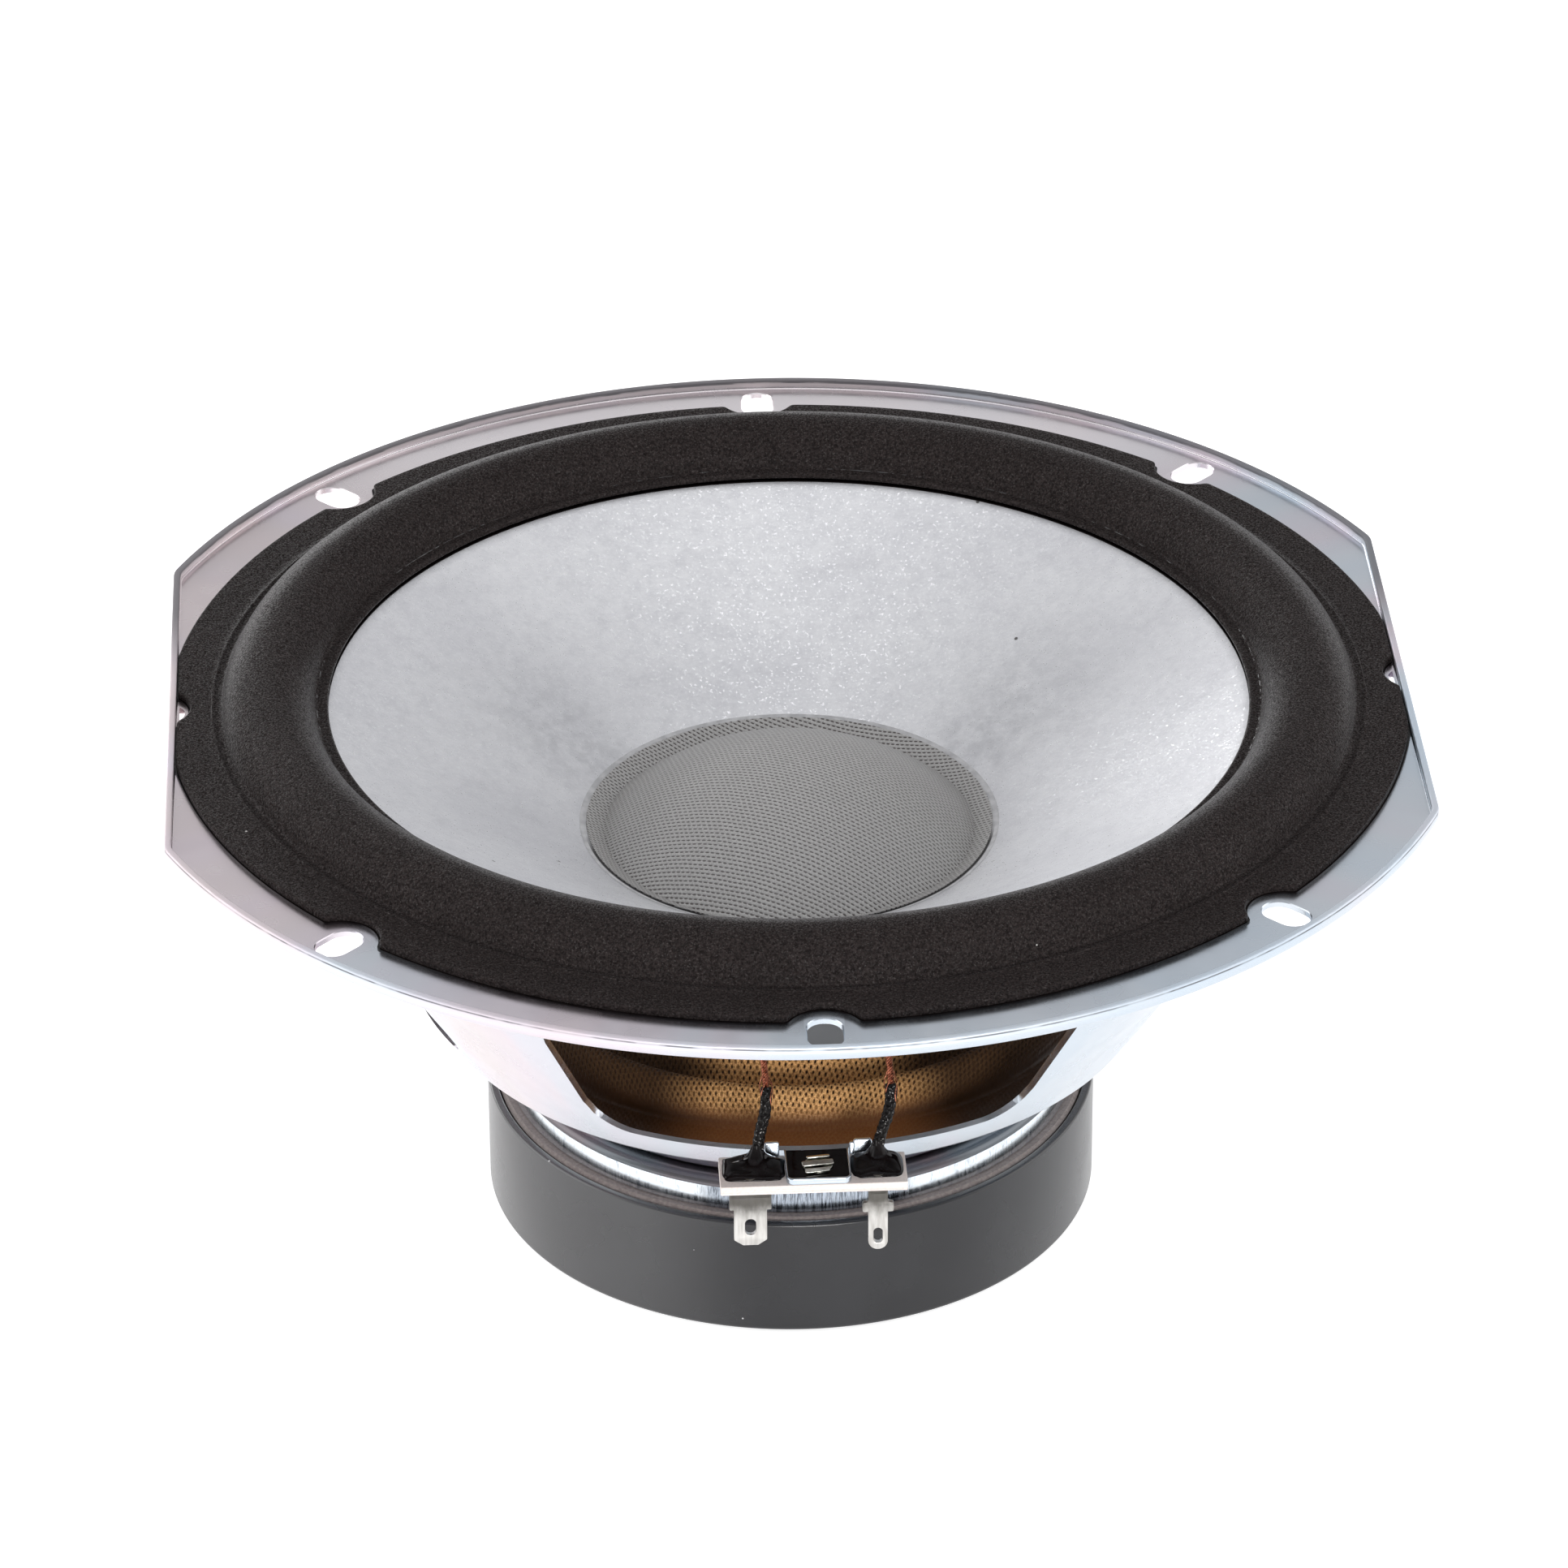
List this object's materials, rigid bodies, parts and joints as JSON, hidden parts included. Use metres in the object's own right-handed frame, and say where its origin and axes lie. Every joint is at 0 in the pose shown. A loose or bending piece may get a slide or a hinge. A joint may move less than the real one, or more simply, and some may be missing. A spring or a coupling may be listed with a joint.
{
  "type": "car subwoofer speaker",
  "caption": "Round woofer with a stamped steel frame cut flat on two sides, a foam surround, a paper cone with a woven dust cap, and a booted ferrite magnet.",
  "frame": {"origin": "centre of the magnet boot's underside, on the cone's axis", "axes": "+Z along the cone's axis, out of the cone; the terminals face -Y and the flange's two flats face -X and +X"},
  "size_m": [0.1822, 0.2, 0.0886],
  "materials": {
    "zinc_steel": "zinc-plated and passivated, satin with a faint pink and blue iridescence",
    "yoke_steel": "zinc-plated forging, satin",
    "ferrite": "matt brown-grey ferrite",
    "boot_rubber": "satin moulded rubber",
    "surround_foam": "charcoal foam, fine grain, slight sheen on the roll",
    "black_adhesive": "glossy black glue",
    "clear_adhesive": "clear satin glue",
    "spider_cloth": "golden-brown resin-stiffened weave",
    "cone_paper": "silver-grey coated paper with mottled fibres",
    "cap_cloth": "grey stiffened weave",
    "former_paper": "brown kraft paper",
    "copper": "enamelled or braided copper",
    "board_laminate": "off-white paper laminate",
    "tinned_brass": "tinned, satin",
    "sleeve_braid": "black lacquered braid"
  },
  "bodies": {
    "frame": {"basket": "zinc_steel", "top_plate": "zinc_steel", "plate_rivets": "zinc_steel", "t_yoke": "yoke_steel", "magnet": "ferrite", "magnet_boot": "boot_rubber", "surround_adhesive": "black_adhesive", "surround": "surround_foam", "spider": "spider_cloth", "terminal_board": "board_laminate", "board_eyelet": "tinned_brass", "wide_tab": "tinned_brass", "narrow_tab": "tinned_brass", "tab_eyelets": "tinned_brass", "wide_tab_glue": "black_adhesive", "narrow_tab_glue": "black_adhesive", "wide_lead_sleeve": "sleeve_braid", "narrow_lead_sleeve": "sleeve_braid", "wide_tinsel_lead": "copper", "narrow_tinsel_lead": "copper"},
    "cone_assembly": {"cone": "cone_paper", "dust_cap": "cap_cloth", "dust_cap_adhesive": "clear_adhesive", "cone_edge_adhesive": "black_adhesive", "coil_former": "former_paper", "coil_winding": "copper", "coil_collar": "former_paper", "cone_neck_adhesive": "clear_adhesive", "spider_adhesive": "clear_adhesive", "lead_joints": "black_adhesive", "lead_outs": "copper"}
  },
  "joints": [
    {"name": "cone_travel", "type": "slide", "parent": "frame", "child": "cone_assembly", "axis": [0, 0, 1], "range_m": [-0.007, 0.007], "stiffness_N_per_m": 1500, "deforming": ["surround", "spider", "wide_tinsel_lead", "narrow_tinsel_lead"]}
  ]
}
